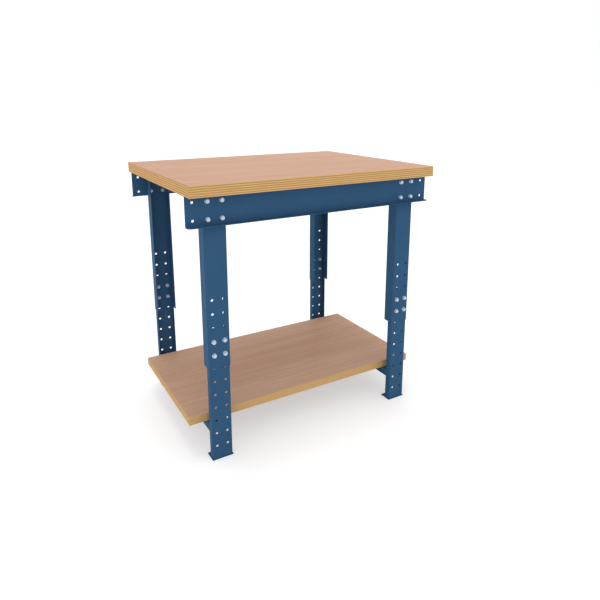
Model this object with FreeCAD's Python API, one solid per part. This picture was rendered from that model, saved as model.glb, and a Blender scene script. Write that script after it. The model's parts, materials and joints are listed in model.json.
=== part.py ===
"""Workbench: multiplex worktop on two bent-steel rails and four telescopic C-channel legs, with a
lower shelf on two bearers.

Millimetres. The origin is on the floor under the middle of the bench, +X to the right along its
length, +Y to the back, +Z up. The legs are at their highest setting.
"""
import FreeCAD, Part
import math
import os

# Worktop
worktop_length = 1000.0
worktop_depth = 750.0
worktop_thickness = 40.0
worktop_height = 1000.0
worktop_edge_radius = 2.0

# Bent sheet steel of legs, rails and bearers
sheet = 2.0
bend_inside_radius = 2.0

# Legs: an upper channel over a lower one, two columns of holes in each
leg_width = 80.0
leg_end_inset = 60.0
leg_edge_inset = 47.0
upper_leg_depth = 48.0
lower_leg_depth = 26.0
leg_side_gap = 0.5
leg_web_gap = 0.2
hole_diameter = 9.0
hole_pitch = 50.0
hole_side_inset = 20.0
lower_hole_rows = 9
upper_hole_rows = 5
bolted_rows = 2

# Foot plates
foot_depth = 50.0
foot_thickness = 3.0
foot_corner_radius = 2.0

# Rails: web, outward bottom flange, and an inward lip under the worktop between the legs
rail_height = 100.0
rail_flange_width = 28.0
rail_flange_corner_radius = 15.0
rail_bolt_edge_inset = 20.0
rail_bolt_side_inset = 15.0
rail_end_hole_inset = 25.0
rail_lip_width = 28.0
rail_lip_leg_gap = 10.0
rail_lip_relief = 1.0

# Shelf and its bearers
shelf_height = 157.0
shelf_thickness = 30.0
shelf_leg_gap = 10.0
shelf_edge_radius = 1.0
bearer_height = 28.0

# Flanged hexagon bolts and nuts
bolt_diameter = 8.0
bolt_length = 16.0
bolt_tip_diameter = 6.4
bolt_tip_length = 1.0
hexagon_across_flats = 13.0
hexagon_height = 5.5
hexagon_crown_diameter = 12.4
hexagon_crown_angle = 30.0
bolt_flange_diameter = 17.0
bolt_flange_top_diameter = 15.2
bolt_flange_rim = 1.0
bolt_flange_thickness = 2.0
nut_bore_clearance = 0.1
nut_leg_gap = 0.3

# Pan-head wood screws
screw_diameter = 5.0
screw_head_diameter = 9.5
screw_head_top_diameter = 6.5
screw_head_height = 3.0
screw_hole_clearance = 0.25
pilot_hole_clearance = 0.05
pilot_hole_spare_depth = 2.0
worktop_screw_length = 30.0
worktop_screws_per_rail = 4
worktop_screw_end_inset = 50.0
shelf_screw_length = 25.0
shelf_screws_per_bearer = 3
shelf_screw_end_inset = 90.0

# Heights above the floor
worktop_underside = worktop_height - worktop_thickness
rail_bottom = worktop_underside - rail_height
rail_bolt_heights = (rail_bottom + rail_bolt_edge_inset, worktop_underside - rail_bolt_edge_inset)
lower_leg_top = foot_thickness + (lower_hole_rows + 1) * hole_pitch
lower_holes = [foot_thickness + (row + 1) * hole_pitch for row in range(lower_hole_rows)]
upper_leg_bottom = lower_holes[-bolted_rows] - hole_pitch
upper_holes = [upper_leg_bottom + (row + 1) * hole_pitch for row in range(upper_hole_rows)]
shelf_underside = shelf_height - shelf_thickness

# Places across the bench
leg_x = worktop_length / 2 - leg_end_inset - leg_width / 2
upper_web_y = worktop_depth / 2 - leg_edge_inset
lower_web_y = upper_web_y - sheet - leg_web_gap
lower_leg_width = leg_width - 2 * (sheet + leg_side_gap)
leg_columns = (hole_side_inset - leg_width / 2, leg_width / 2 - hole_side_inset)
rail_columns = (rail_bolt_side_inset - leg_width / 2, leg_width / 2 - rail_bolt_side_inset)
rail_end_hole_x = worktop_length / 2 - rail_end_hole_inset
rail_lip_half = leg_x - leg_width / 2 - rail_lip_leg_gap
bend_outside_radius = bend_inside_radius + sheet
upper_leg_bend_radius = bend_outside_radius

# Shelf and bearers between the legs
shelf_depth = 2 * (upper_web_y - upper_leg_depth - shelf_leg_gap)
bearer_width = lower_leg_width - 2 * sheet
bearer_half_length = lower_web_y - bend_outside_radius

left, right = -1, 1
front, rear = -1, 1
side_names = {left: "left", right: "right"}
end_names = {front: "front", rear: "rear"}

x_axis = FreeCAD.Vector(1, 0, 0)
y_axis = FreeCAD.Vector(0, 1, 0)
z_axis = FreeCAD.Vector(0, 0, 1)


def rounded_outline(corners):
    """Closed wire through (point, radius) corners, each rounded by a tangent arc of its radius."""
    edges = []
    starts, ends, middles = [], [], []
    count = len(corners)
    for i, (point, radius) in enumerate(corners):
        to_last = (corners[i - 1][0] - point).normalize()
        to_next = (corners[(i + 1) % count][0] - point).normalize()
        half_angle = to_last.getAngle(to_next) / 2
        run = radius / math.tan(half_angle)
        inward = (to_last + to_next).normalize()
        starts.append(point + to_last * run)
        ends.append(point + to_next * run)
        middles.append(point + inward * (radius / math.sin(half_angle) - radius))
    for i, (point, radius) in enumerate(corners):
        if radius > 0:
            edges.append(Part.Arc(starts[i], middles[i], ends[i]).toShape())
        edges.append(Part.LineSegment(ends[i], starts[(i + 1) % count]).toShape())
    return Part.Wire(edges)


def prism(corners, direction):
    """Solid made by pushing a rounded outline along a direction."""
    return Part.Face(rounded_outline(corners)).extrude(direction)


def box_between(low, high):
    """Box from its lowest to its highest corner."""
    size = high - low
    return Part.makeBox(size.x, size.y, size.z, low)


def channel_corners(width, depth, inside_radius):
    """Section of a bent channel in the XY plane: web on Y = 0, flanges towards +Y, centred on X."""
    outer = width / 2
    inner = outer - sheet
    outside_radius = inside_radius + sheet
    return [
        (FreeCAD.Vector(-outer, 0, 0), outside_radius),
        (FreeCAD.Vector(outer, 0, 0), outside_radius),
        (FreeCAD.Vector(outer, depth, 0), 0),
        (FreeCAD.Vector(inner, depth, 0), 0),
        (FreeCAD.Vector(inner, sheet, 0), inside_radius),
        (FreeCAD.Vector(-inner, sheet, 0), inside_radius),
        (FreeCAD.Vector(-inner, depth, 0), 0),
        (FreeCAD.Vector(-outer, depth, 0), 0),
    ]


def drill_y(shape, places, diameter, start_y, depth):
    """Cuts round holes along +Y at (x, z) places."""
    drills = []
    for x, z in places:
        drills.append(Part.makeCylinder(diameter / 2, depth, FreeCAD.Vector(x, start_y, z), y_axis))
    return shape.cut(drills)


def drill_z(shape, places, diameter, start_z, depth):
    """Cuts round holes along +Z at (x, y) places."""
    drills = []
    for x, y in places:
        drills.append(Part.makeCylinder(diameter / 2, depth, FreeCAD.Vector(x, y, start_z), z_axis))
    return shape.cut(drills)


def to_corner(shape, side, end):
    """Moves a piece made for the front, centred on X = 0, to a leg's place at that side and end."""
    placed = shape.copy()
    if end == rear:
        placed = placed.mirror(FreeCAD.Vector(0, 0, 0), y_axis)
    placed.translate(x_axis * (side * leg_x))
    return placed


def leg_hole_places(heights):
    """(x, z) of a leg's two columns of holes."""
    return [(x, z) for z in heights for x in leg_columns]


def rail_bolt_places():
    """(x, z) of the four rail bolts of a leg, about the leg's middle."""
    return [(x, z) for z in rail_bolt_heights for x in rail_columns]


def worktop_screw_places(end):
    """(x, y) of the screws through a rail's lip."""
    span = 2 * (rail_lip_half - worktop_screw_end_inset)
    step = span / (worktop_screws_per_rail - 1)
    y = end * (upper_web_y + sheet - (rail_lip_width + bend_outside_radius) / 2)
    return [(step * i - span / 2, y) for i in range(worktop_screws_per_rail)]


def shelf_screw_places(side):
    """(x, y) of the screws through a bearer."""
    span = shelf_depth - 2 * shelf_screw_end_inset
    step = span / (shelf_screws_per_bearer - 1)
    return [(side * leg_x, step * i - span / 2) for i in range(shelf_screws_per_bearer)]


def panel(length, depth, underside, thickness, edge_radius):
    """Flat panel centred over the origin, with every edge eased."""
    low = FreeCAD.Vector(-length / 2, -depth / 2, underside)
    high = FreeCAD.Vector(length / 2, depth / 2, underside + thickness)
    board = box_between(low, high)
    return board.makeFillet(edge_radius, board.Edges)


def pilot_holes(board, underside, places, screw_length):
    """Drills a panel from below for its screws."""
    depth = screw_length - sheet + pilot_hole_spare_depth
    return drill_z(board, places, screw_diameter + 2 * pilot_hole_clearance, underside, depth)


def make_worktop():
    board = panel(worktop_length, worktop_depth, worktop_underside, worktop_thickness, worktop_edge_radius)
    places = worktop_screw_places(front) + worktop_screw_places(rear)
    return pilot_holes(board, worktop_underside, places, worktop_screw_length)


def make_shelf():
    board = panel(worktop_length, shelf_depth, shelf_underside, shelf_thickness, shelf_edge_radius)
    places = shelf_screw_places(left) + shelf_screw_places(right)
    return pilot_holes(board, shelf_underside, places, shelf_screw_length)


def rail_flange_corners(web_face):
    """Plan of the bottom flange from the web's inner face outwards, with its two free corners rounded."""
    half = worktop_length / 2
    tip = web_face - rail_flange_width
    return [
        (FreeCAD.Vector(-half, web_face, 0), 0),
        (FreeCAD.Vector(half, web_face, 0), 0),
        (FreeCAD.Vector(half, tip, 0), rail_flange_corner_radius),
        (FreeCAD.Vector(-half, tip, 0), rail_flange_corner_radius),
    ]


def make_front_rail():
    """Web outside the legs' webs, flange out at the bottom, lip in at the top between the legs."""
    face = -upper_web_y
    outside = face - sheet
    bottom = rail_bottom
    top = worktop_underside
    tip = face - rail_flange_width
    half = worktop_length / 2
    angle = [
        (FreeCAD.Vector(-half, face, top), 0),
        (FreeCAD.Vector(-half, outside, top), 0),
        (FreeCAD.Vector(-half, outside, bottom + sheet), bend_inside_radius),
        (FreeCAD.Vector(-half, tip, bottom + sheet), 0),
        (FreeCAD.Vector(-half, tip, bottom), 0),
        (FreeCAD.Vector(-half, face, bottom), bend_outside_radius),
    ]
    body = prism(angle, x_axis * worktop_length)
    plan = prism(rail_flange_corners(face), z_axis * rail_height)
    plan.translate(z_axis * bottom)
    body = body.common(plan)

    bend_foot = top - bend_outside_radius - rail_lip_relief
    lip_tip = outside + rail_lip_width
    relief = rail_lip_half + rail_lip_relief
    notch_low = FreeCAD.Vector(-relief, outside, bend_foot)
    notch_high = FreeCAD.Vector(relief, face, top)
    body = body.cut(box_between(notch_low, notch_high))
    lip = [
        (FreeCAD.Vector(-rail_lip_half, outside, bend_foot), 0),
        (FreeCAD.Vector(-rail_lip_half, outside, top), bend_outside_radius),
        (FreeCAD.Vector(-rail_lip_half, lip_tip, top), 0),
        (FreeCAD.Vector(-rail_lip_half, lip_tip, top - sheet), 0),
        (FreeCAD.Vector(-rail_lip_half, face, top - sheet), bend_inside_radius),
        (FreeCAD.Vector(-rail_lip_half, face, bend_foot), 0),
    ]
    body = body.fuse(prism(lip, x_axis * (2 * rail_lip_half))).removeSplitter()

    places = []
    for side in (left, right):
        places += [(side * leg_x + x, z) for x, z in rail_bolt_places()]
        places += [(side * rail_end_hole_x, z) for z in rail_bolt_heights]
    body = drill_y(body, places, hole_diameter, outside, sheet)
    screw_hole = screw_diameter + 2 * screw_hole_clearance
    return drill_z(body, worktop_screw_places(front), screw_hole, top - sheet, sheet)


def make_upper_leg():
    """Upper channel of a front leg, centred on X = 0, open to the back, bent round the lower channel."""
    section = channel_corners(leg_width, upper_leg_depth, upper_leg_bend_radius)
    leg = prism(section, z_axis * (worktop_underside - upper_leg_bottom))
    leg.translate(FreeCAD.Vector(0, -upper_web_y, upper_leg_bottom))
    places = leg_hole_places(upper_holes) + rail_bolt_places()
    return drill_y(leg, places, hole_diameter, -upper_web_y, sheet)


def make_lower_leg():
    """Lower channel of a front leg, nested inside the upper one."""
    section = channel_corners(lower_leg_width, lower_leg_depth, bend_inside_radius)
    leg = prism(section, z_axis * (lower_leg_top - foot_thickness))
    leg.translate(FreeCAD.Vector(0, -lower_web_y, foot_thickness))
    return drill_y(leg, leg_hole_places(lower_holes), hole_diameter, -lower_web_y, sheet)


def make_foot_plate():
    """Plate under a front leg, as wide as the upper channel and flush with its web."""
    half = leg_width / 2
    near = -upper_web_y
    far = near + foot_depth
    corners = [
        (FreeCAD.Vector(-half, near, 0), foot_corner_radius),
        (FreeCAD.Vector(half, near, 0), foot_corner_radius),
        (FreeCAD.Vector(half, far, 0), foot_corner_radius),
        (FreeCAD.Vector(-half, far, 0), foot_corner_radius),
    ]
    return prism(corners, z_axis * foot_thickness)


def make_bearer(side):
    """Upside-down channel under the shelf, its ends between the flanges of the lower legs."""
    section = channel_corners(bearer_width, bearer_height, bend_inside_radius)
    bearer = prism(section, z_axis * (2 * bearer_half_length))
    bearer.rotate(FreeCAD.Vector(0, 0, 0), x_axis, -90)
    bearer.translate(FreeCAD.Vector(side * leg_x, -bearer_half_length, shelf_underside))
    places = shelf_screw_places(side)
    screw_hole = screw_diameter + 2 * screw_hole_clearance
    return drill_z(bearer, places, screw_hole, shelf_underside - sheet, sheet)


def crowned_hexagon():
    """Hexagon along -Y from Y = 0, a corner at the top, its free end chamfered to a round crown."""
    reach = hexagon_across_flats / math.sqrt(3)
    turns = [math.radians(60 * i + 90) for i in range(6)]
    corners = [(FreeCAD.Vector(reach * math.cos(a), 0, reach * math.sin(a)), 0) for a in turns]
    crown = hexagon_crown_diameter / 2
    root = crown + hexagon_height / math.tan(math.radians(hexagon_crown_angle))
    cone = Part.makeCone(root, crown, hexagon_height, FreeCAD.Vector(), -y_axis)
    return prism(corners, -y_axis * hexagon_height).common(cone)


def hex_with_flange():
    """Hexagon on a round sloped flange, seated on Y = 0 and standing out towards -Y."""
    rim = Part.makeCylinder(bolt_flange_diameter / 2, bolt_flange_rim, FreeCAD.Vector(), -y_axis)
    slope_height = bolt_flange_thickness - bolt_flange_rim
    slope_foot = -y_axis * bolt_flange_rim
    top_radius = bolt_flange_top_diameter / 2
    slope = Part.makeCone(bolt_flange_diameter / 2, top_radius, slope_height, slope_foot, -y_axis)
    head = crowned_hexagon()
    head.translate(-y_axis * bolt_flange_thickness)
    return rim.fuse([slope, head])


def make_bolt():
    """Flanged bolt: its flange seats on Y = 0 and its shank points along +Y to a chamfered tip."""
    plain = bolt_length - bolt_tip_length
    shank = Part.makeCylinder(bolt_diameter / 2, plain, FreeCAD.Vector(), y_axis)
    tip = Part.makeCone(bolt_diameter / 2, bolt_tip_diameter / 2, bolt_tip_length, y_axis * plain, y_axis)
    return hex_with_flange().fuse([shank, tip]).removeSplitter()


def make_nut():
    """Flanged nut: its flange seats on Y = 0 and its body stands out towards +Y."""
    height = bolt_flange_thickness + hexagon_height
    body = hex_with_flange().mirror(FreeCAD.Vector(0, 0, 0), y_axis)
    bore = Part.makeCylinder(bolt_diameter / 2 + nut_bore_clearance, height, FreeCAD.Vector(), y_axis)
    return body.cut(bore).removeSplitter()


def set_of(fastener, places, seat_y):
    """Copies of a fastener at (x, z) places on a seat."""
    copies = []
    for x, z in places:
        copy = fastener.copy()
        copy.translate(FreeCAD.Vector(x, seat_y, z))
        copies.append(copy)
    return Part.makeCompound(copies)


def make_screw(length):
    """Pan-head screw along +Z, its head's seat on Z = 0."""
    seat = FreeCAD.Vector()
    top_radius = screw_head_top_diameter / 2
    head = Part.makeCone(screw_head_diameter / 2, top_radius, screw_head_height, seat, -z_axis)
    return head.fuse(Part.makeCylinder(screw_diameter / 2, length, seat, z_axis))


def screws_at(places, seat_z, length):
    """Screws pointing up at (x, y) places."""
    copies = []
    for x, y in places:
        screw = make_screw(length)
        screw.translate(FreeCAD.Vector(x, y, seat_z))
        copies.append(screw)
    return Part.makeCompound(copies)


def make_pieces():
    """Every node of the bench by its name."""
    pieces = {"worktop": make_worktop(), "shelf": make_shelf()}
    front_rail = make_front_rail()
    pieces["front_rail"] = front_rail
    pieces["rear_rail"] = front_rail.mirror(FreeCAD.Vector(0, 0, 0), y_axis)

    bolt = make_bolt()
    nut = make_nut()
    bolted_holes = leg_hole_places(upper_holes[:bolted_rows])
    corner_pieces = {
        "upper_leg": make_upper_leg(),
        "lower_leg": make_lower_leg(),
        "foot_plate": make_foot_plate(),
    }
    leg_fasteners = {
        "leg_bolts": set_of(bolt, bolted_holes, -upper_web_y),
        "leg_nuts": set_of(nut, bolted_holes, -lower_web_y + sheet + nut_leg_gap),
        "rail_bolts": set_of(bolt, rail_bolt_places(), -upper_web_y - sheet),
        "rail_nuts": set_of(nut, rail_bolt_places(), -upper_web_y + sheet),
    }
    for end in (front, rear):
        for side in (left, right):
            for name, shape in corner_pieces.items():
                pieces[f"{name}_{end_names[end]}_{side_names[side]}"] = to_corner(shape, side, end)
        for name, shape in leg_fasteners.items():
            solids = to_corner(shape, left, end).Solids + to_corner(shape, right, end).Solids
            pieces[f"{name}_{end_names[end]}"] = Part.makeCompound(solids)
        places = worktop_screw_places(end)
        screws = screws_at(places, worktop_underside - sheet, worktop_screw_length)
        pieces[f"worktop_screws_{end_names[end]}"] = screws
    for side in (left, right):
        pieces[f"shelf_bearer_{side_names[side]}"] = make_bearer(side)
        screws = screws_at(shelf_screw_places(side), shelf_underside - sheet, shelf_screw_length)
        pieces[f"shelf_screws_{side_names[side]}"] = screws
    return pieces


def main():
    os.makedirs("parts", exist_ok=True)
    for name, shape in make_pieces().items():
        shape.exportStep(f"parts/{name}.step")
        print(name, len(shape.Solids), "solids", round(shape.Volume), "mm3", shape.isValid())


main()
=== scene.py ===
"""Finishes, light and camera for the workbench. Metres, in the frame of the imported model."""
import bpy
import json
import math
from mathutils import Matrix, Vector


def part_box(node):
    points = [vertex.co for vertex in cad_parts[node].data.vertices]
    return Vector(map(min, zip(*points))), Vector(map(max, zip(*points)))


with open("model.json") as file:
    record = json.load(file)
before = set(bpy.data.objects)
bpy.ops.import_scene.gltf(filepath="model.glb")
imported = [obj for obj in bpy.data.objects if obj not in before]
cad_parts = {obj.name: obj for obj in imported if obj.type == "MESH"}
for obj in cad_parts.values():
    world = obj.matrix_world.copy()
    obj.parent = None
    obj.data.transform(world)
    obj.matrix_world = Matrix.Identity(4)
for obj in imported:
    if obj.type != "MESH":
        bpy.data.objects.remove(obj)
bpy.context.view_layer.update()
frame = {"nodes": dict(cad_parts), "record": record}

# Camera at the photograph's viewing angle
CAMERA_PLACE = (-1.0336, -1.9485, 1.2554)
CAMERA_YAW = math.radians(30.461)
CAMERA_TILT = math.radians(13.314)
CAMERA_LENS = 32.67
CAMERA_SHIFT_Y = -0.12

# Light: an even sky, and one broad lamp overhead, slightly from the back
SKY_LEVEL = 0.9
SEEN_LEVEL = 1.0
WHITE = (1.0, 1.0, 1.0, 1.0)
KEY_FROM = (0.0, 0.1, 1.0)
KEY_STRENGTH = 0.45
KEY_SPREAD = math.radians(20.0)

# Floor: the colour that lights the bench from below, and the colour and glow that are seen
FLOOR_HALF = 30.0
FLOOR_BOUNCE = (0.74, 0.80, 0.85, 1.0)
FLOOR_SEEN = (0.72, 0.72, 0.72, 1.0)
FLOOR_GLOW = 0.44

# In the finishes a colour is 8-bit sRGB, a noise's scale is in features per metre, and a bump is
# its strength and its depth. Two numbers are a range: of a noise, of a share, or of roughness.
WHOLE = (0.0, 1.0)
MOST_OF_NOISE = (0.3, 0.7)

# Powder coat
COAT_INDEX = 1.1
# Deep and pale blue: broad random tone, and also painted shade and painted highlight of the orange peel
COAT_DEEP_TONE_AND_PEEL_SHADE = (54, 91, 125)
COAT_PALE_TONE_AND_PEEL_HIGHLIGHT = (60, 98, 132)
COAT_SPECK = (74, 111, 144)
COAT_CLOUD_NOISE = {"scale": 9.0, "detail": 3.0}
COAT_PEEL_NOISE = {"scale": 750.0, "detail": 1.0}
COAT_PEEL_SHADE_SHARE = 0.6
COAT_TONE_AND_PEEL_SHADE_RANGE = (0.36, 0.64)
COAT_SPECK_NOISE = {"scale": 2600.0, "detail": 1.0}
COAT_SPECK_RANGE = (0.62, 0.75)
COAT_SPECK_SHARE = (0.0, 0.25)
COAT_ROUGHNESS = (0.42, 0.54)
COAT_BUMP = (0.15, 0.0004)

# Zinc plate
ZINC_METALLIC = 0.8
ZINC_DULL = (185, 199, 214)
ZINC_BRIGHT = (211, 222, 235)
ZINC_CLOUD_NOISE = {"scale": 60.0, "detail": 2.0}
ZINC_GRAIN_NOISE = {"scale": 900.0, "detail": 3.0}
ZINC_ROUGHNESS = (0.46, 0.6)
ZINC_BUMP = (0.08, 0.0002)

# Beech veneer on the boards' faces, with its grain along X
BROAD_BAND_NOISE = {"scale": 9.0, "detail": 3.0, "stretch": (0.09, 1.0, 1.0)}
NARROW_BAND_NOISE = {"scale": 75.0, "detail": 4.0, "stretch": (0.035, 1.0, 1.0)}
NARROW_BAND_SHARE = 0.5
BAND_RANGE = (0.38, 0.62)
FIBRE_NOISE = {"scale": 900.0, "detail": 2.0, "stretch": (0.03, 1.0, 1.0)}
FIBRE_RANGE = (0.5, 0.75)
FIBRE_SHARE = (0.0, 0.25)
RAY_NOISE = {"scale": 1500.0, "detail": 1.0, "stretch": (0.12, 1.0, 1.0)}
RAY_RANGE = (0.61, 0.7)
RAY_SHARE = (0.0, 0.6)

# Plies at the boards' edges
PLY_WAVE_NOISE = {"scale": 45.0, "detail": 2.0}
PLY_WAVE_HEIGHT = 0.0014
PLY_TOP_MARGIN = 0.01
STREAK_NOISE = {"scale": 700.0, "detail": 3.0, "stretch": (0.04, 0.04, 1.0)}
STREAK_RANGE = (0.35, 0.7)
STREAK_SHARE = (0.0, 0.45)
PORE_NOISE = {"scale": 2200.0, "detail": 2.0}
PORE_RANGE = (0.4, 0.7)
PORE_SHARE = (0.0, 0.5)
GLUE_RANGE = (0.4, 0.48)
GLUE_SHARE = (0.0, 0.55)

# Boards
BOARD_INDEX = 1.15
BOARD_FACE_RANGE = (0.45, 0.75)
LACQUERED_ROUGHNESS = (0.4, 0.55)
SAWN_ROUGHNESS = (0.75, 0.9)
BOARD_BUMP = (0.06, 0.0003)
BOARDS = {
    "worktop_multiplex": {
        "node": "worktop",
        "plies": 11,
        "veneer": {"dark": (202, 156, 129), "light": (215, 171, 144), "fleck": (178, 126, 97)},
        "edge": {"long_grain": (240, 197, 137), "end_grain": (206, 156, 95), "glue": (168, 120, 66)},
    },
    "shelf_board": {
        "node": "shelf",
        "plies": 9,
        "veneer": {"dark": (196, 157, 132), "light": (209, 173, 147), "fleck": (172, 125, 97)},
        "edge": {"long_grain": (229, 186, 126), "end_grain": (217, 171, 111), "glue": (198, 152, 93)},
    },
}

# The curve of the sRGB standard
SRGB_TOP = 255
SRGB_TOE = 0.04045
SRGB_TOE_SLOPE = 12.92
SRGB_OFFSET = 0.055
SRGB_POWER = 2.4

# Places of the Mix node's sockets for colours, and of the axes
MIX_SHARE = 0
MIX_FIRST = 6
MIX_SECOND = 7
MIX_RESULT = 2
AXIS_X = 0
AXIS_Z = 2


def srgb(colour):
    """Linear RGBA of an 8-bit sRGB colour."""
    linear = []
    for value in colour:
        share = value / SRGB_TOP
        if share <= SRGB_TOE:
            linear.append(share / SRGB_TOE_SLOPE)
        else:
            linear.append(((share + SRGB_OFFSET) / (1.0 + SRGB_OFFSET)) ** SRGB_POWER)
    return (*linear, 1.0)


def add(tree, kind, inputs=None, **settings):
    """Adds a shader node, with its settings, and its inputs as values or as outputs to link."""
    made = tree.nodes.new("ShaderNode" + kind)
    for name, value in settings.items():
        setattr(made, name, value)
    for name, value in (inputs or {}).items():
        if isinstance(value, bpy.types.NodeSocket):
            tree.links.new(value, made.inputs[name])
        else:
            made.inputs[name].default_value = value
    return made


def math_node(tree, operation, first, second=0.0):
    """Result of a Math node."""
    return add(tree, "Math", {0: first, 1: second}, operation=operation).outputs[0]


def noise(tree, place, scale, detail, stretch=(1.0, 1.0, 1.0)):
    """Noise in object space. A stretch below 1 draws it out along an axis."""
    mapped = add(tree, "Mapping", {"Vector": place, "Scale": stretch}).outputs[0]
    return add(tree, "TexNoise", {"Vector": mapped, "Scale": scale, "Detail": detail}).outputs[0]


def spread(tree, value, source, target=WHOLE):
    """Maps one range of a value to another, clamped."""
    inputs = {"Value": value}
    inputs["From Min"], inputs["From Max"] = source
    inputs["To Min"], inputs["To Max"] = target
    return add(tree, "MapRange", inputs).outputs[0]


def weigh(tree, first, second, share):
    """Value between two, by the second's share."""
    kept = math_node(tree, "MULTIPLY", first, 1.0 - share)
    added = math_node(tree, "MULTIPLY", second, share)
    return math_node(tree, "ADD", kept, added)


def blend(tree, share, first, second):
    """Colour between two, by the second's share."""
    inputs = {MIX_SHARE: share, MIX_FIRST: first, MIX_SECOND: second}
    return add(tree, "Mix", inputs, data_type="RGBA").outputs[MIX_RESULT]


def facing(tree, axis):
    """How squarely the surface faces along an axis, either way: 1 square on, 0 edge on."""
    normal = add(tree, "TexCoord").outputs["Normal"]
    along = add(tree, "SeparateXYZ", {0: normal}).outputs[axis]
    return math_node(tree, "ABSOLUTE", along)


def new_material(slot, **constants):
    """Material for a slot, with a Principled shader that has the constants on its own sockets."""
    material = bpy.data.materials.new(slot + "_finish")
    material.use_nodes = True
    tree = material.node_tree
    shader = tree.nodes["Principled BSDF"]
    for socket, value in constants.items():
        shader.inputs[socket].default_value = value
    place = add(tree, "TexCoord").outputs["Object"]
    return material, tree, shader, place


def connect(tree, shader, colour, roughness, height, strength, depth):
    """Links colour, roughness and bump to the shader."""
    bump = add(tree, "Bump", {"Height": height, "Strength": strength, "Distance": depth})
    sources = {"Base Color": colour, "Roughness": roughness, "Normal": bump.outputs[0]}
    for socket, source in sources.items():
        tree.links.new(source, shader.inputs[socket])


def powder_coat():
    """Blue powder coat with a fine orange peel, whose relief is also painted into the colour as painted
    shade and highlight, over broad clouds of random tone. The low index keeps it blue where it is seen
    edge-on.
    """
    material, tree, shader, place = new_material("blue_powder_coat", IOR=COAT_INDEX)
    cloud = noise(tree, place, **COAT_CLOUD_NOISE)
    peel = noise(tree, place, **COAT_PEEL_NOISE)
    # Painted shade and highlight: the blue is darker and paler with the orange peel's relief, over broad
    # clouds of random tone
    depth = spread(tree, weigh(tree, cloud, peel, COAT_PEEL_SHADE_SHARE), COAT_TONE_AND_PEEL_SHADE_RANGE)
    specks = spread(tree, noise(tree, place, **COAT_SPECK_NOISE), COAT_SPECK_RANGE, COAT_SPECK_SHARE)
    colour = blend(tree, depth, srgb(COAT_DEEP_TONE_AND_PEEL_SHADE), srgb(COAT_PALE_TONE_AND_PEEL_HIGHLIGHT))
    colour = blend(tree, specks, colour, srgb(COAT_SPECK))
    roughness = spread(tree, peel, MOST_OF_NOISE, COAT_ROUGHNESS)
    connect(tree, shader, colour, roughness, peel, *COAT_BUMP)
    return material


def zinc():
    """Zinc plate, slightly blue, with fine uneven brightness."""
    material, tree, shader, place = new_material("zinc_plate", Metallic=ZINC_METALLIC)
    cloud = spread(tree, noise(tree, place, **ZINC_CLOUD_NOISE), MOST_OF_NOISE)
    grain = noise(tree, place, **ZINC_GRAIN_NOISE)
    colour = blend(tree, cloud, srgb(ZINC_DULL), srgb(ZINC_BRIGHT))
    roughness = spread(tree, grain, MOST_OF_NOISE, ZINC_ROUGHNESS)
    connect(tree, shader, colour, roughness, grain, *ZINC_BUMP)
    return material


def veneer_colour(tree, place, fibre, dark, light, fleck):
    """Beech: broad and narrow bands, fibres, and short dark rays."""
    broad = noise(tree, place, **BROAD_BAND_NOISE)
    narrow = noise(tree, place, **NARROW_BAND_NOISE)
    bands = spread(tree, weigh(tree, broad, narrow, NARROW_BAND_SHARE), BAND_RANGE)
    fibres = spread(tree, fibre, FIBRE_RANGE, FIBRE_SHARE)
    rays = spread(tree, noise(tree, place, **RAY_NOISE), RAY_RANGE, RAY_SHARE)
    colour = blend(tree, bands, srgb(dark), srgb(light))
    colour = blend(tree, fibres, colour, srgb(fleck))
    return blend(tree, rays, colour, srgb(fleck))


def ply_colour(tree, place, box, plies, long_grain, end_grain, glue):
    """Edge of a glued board: slightly wavy plies of crossed grain, with dark glue lines between them."""
    low, high = box
    wave = math_node(tree, "MULTIPLY", noise(tree, place, **PLY_WAVE_NOISE), PLY_WAVE_HEIGHT)
    height = math_node(tree, "ADD", add(tree, "SeparateXYZ", {0: place}).outputs[AXIS_Z], wave)
    lift = PLY_WAVE_HEIGHT / 2
    level = spread(tree, height, (low.z + lift, high.z + lift), (0.0, plies - PLY_TOP_MARGIN))
    odd = math_node(tree, "MODULO", math_node(tree, "FLOOR", level), 2.0)
    at_board_end = math_node(tree, "GREATER_THAN", facing(tree, AXIS_X), 0.5)
    crossed = math_node(tree, "ABSOLUTE", math_node(tree, "SUBTRACT", odd, at_board_end))
    above_middle = math_node(tree, "SUBTRACT", math_node(tree, "FRACT", level), 0.5)
    from_middle = math_node(tree, "ABSOLUTE", above_middle)
    streaks = spread(tree, noise(tree, place, **STREAK_NOISE), STREAK_RANGE, STREAK_SHARE)
    pores = spread(tree, noise(tree, place, **PORE_NOISE), PORE_RANGE, PORE_SHARE)
    glue_lines = spread(tree, from_middle, GLUE_RANGE, GLUE_SHARE)
    along = blend(tree, streaks, srgb(long_grain), srgb(end_grain))
    across = blend(tree, pores, srgb(end_grain), srgb(glue))
    return blend(tree, glue_lines, blend(tree, crossed, along, across), srgb(glue))


def board_finish(slot, node, plies, veneer, edge):
    """Board with a lacquered beech veneer on its faces and sawn plies at its edges."""
    material, tree, shader, place = new_material(slot, IOR=BOARD_INDEX)
    fibre = noise(tree, place, **FIBRE_NOISE)
    faces = veneer_colour(tree, place, fibre, **veneer)
    edges = ply_colour(tree, place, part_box(node), plies, **edge)
    on_face = spread(tree, facing(tree, AXIS_Z), BOARD_FACE_RANGE)
    lacquered = spread(tree, fibre, MOST_OF_NOISE, LACQUERED_ROUGHNESS)
    sawn = spread(tree, fibre, MOST_OF_NOISE, SAWN_ROUGHNESS)
    colour = blend(tree, on_face, edges, faces)
    roughness = spread(tree, on_face, WHOLE, (sawn, lacquered))
    connect(tree, shader, colour, roughness, fibre, *BOARD_BUMP)
    return material


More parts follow.
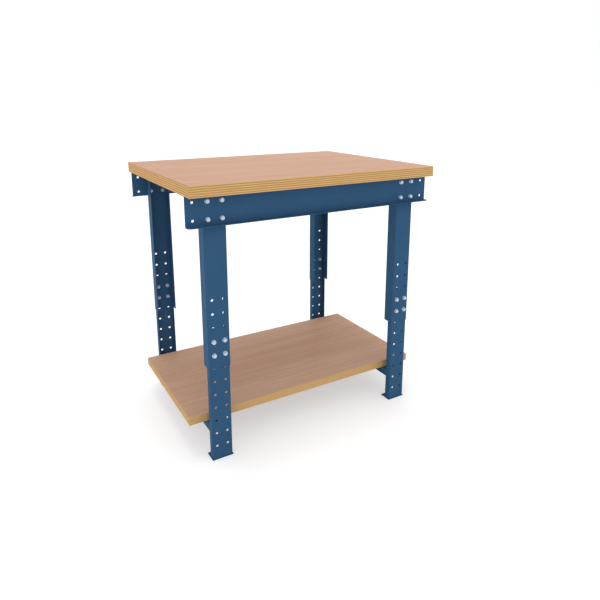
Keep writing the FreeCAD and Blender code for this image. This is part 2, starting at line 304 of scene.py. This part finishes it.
def finish_nodes():
    """Gives every node of the model the finish of its slot."""
    finishes = {"blue_powder_coat": powder_coat(), "zinc_plate": zinc()}
    for slot, board in BOARDS.items():
        finishes[slot] = board_finish(slot, **board)
    for part in frame["record"]["subparts"]:
        mesh = frame["nodes"][part["node"]].data
        mesh.materials.clear()
        mesh.materials.append(finishes[part["material_slot"]])


def seen_directly(tree):
    """1 for rays from the camera, from a reflection or through glass, else 0."""
    path = add(tree, "LightPath")
    seen = path.outputs["Is Camera Ray"]
    for name in ("Is Glossy Ray", "Is Transmission Ray"):
        seen = math_node(tree, "MAXIMUM", seen, path.outputs[name])
    return seen


def make_floor():
    """Pale floor that reads as white where nothing shades it."""
    half = FLOOR_HALF
    corners = [(-half, -half, 0.0), (half, -half, 0.0), (half, half, 0.0), (-half, half, 0.0)]
    mesh = bpy.data.meshes.new("floor")
    mesh.from_pydata(corners, [], [range(len(corners))])
    floor = bpy.data.objects.new("floor", mesh)
    bpy.context.scene.collection.objects.link(floor)
    material = bpy.data.materials.new("floor_finish")
    material.use_nodes = True
    tree = material.node_tree
    tree.nodes.remove(tree.nodes["Principled BSDF"])
    seen = seen_directly(tree)
    colour = blend(tree, seen, FLOOR_BOUNCE, FLOOR_SEEN)
    matt = add(tree, "BsdfDiffuse", {"Color": colour}).outputs[0]
    strength = math_node(tree, "MULTIPLY", seen, FLOOR_GLOW)
    glow = add(tree, "Emission", {"Strength": strength}).outputs[0]
    both = add(tree, "AddShader", {0: matt, 1: glow}).outputs[0]
    tree.links.new(both, tree.nodes["Material Output"].inputs["Surface"])
    mesh.materials.append(material)


def make_light():
    """Even pale sky that is seen as white, and one broad soft lamp."""
    world = bpy.data.worlds.new("studio")
    world.use_nodes = True
    tree = world.node_tree
    level = spread(tree, seen_directly(tree), WHOLE, (SKY_LEVEL, SEEN_LEVEL))
    sky = tree.nodes["Background"]
    sky.inputs["Color"].default_value = WHITE
    tree.links.new(level, sky.inputs["Strength"])
    bpy.context.scene.world = world

    lamp = bpy.data.lights.new("key", "SUN")
    lamp.energy = KEY_STRENGTH
    lamp.angle = KEY_SPREAD
    key = bpy.data.objects.new("key", lamp)
    key.rotation_euler = Vector(KEY_FROM).to_track_quat("Z", "Y").to_euler()
    bpy.context.scene.collection.objects.link(key)


def make_camera():
    """Camera turned to the right and tilted down from the level."""
    lens = bpy.data.cameras.new("camera")
    lens.lens = CAMERA_LENS
    lens.shift_y = CAMERA_SHIFT_Y
    camera = bpy.data.objects.new("camera", lens)
    camera.location = CAMERA_PLACE
    camera.rotation_euler = (math.pi / 2 - CAMERA_TILT, 0.0, -CAMERA_YAW)
    bpy.context.scene.collection.objects.link(camera)
    bpy.context.scene.camera = camera


finish_nodes()
make_floor()
make_light()
make_camera()
bpy.context.scene.view_settings.view_transform = "Standard"
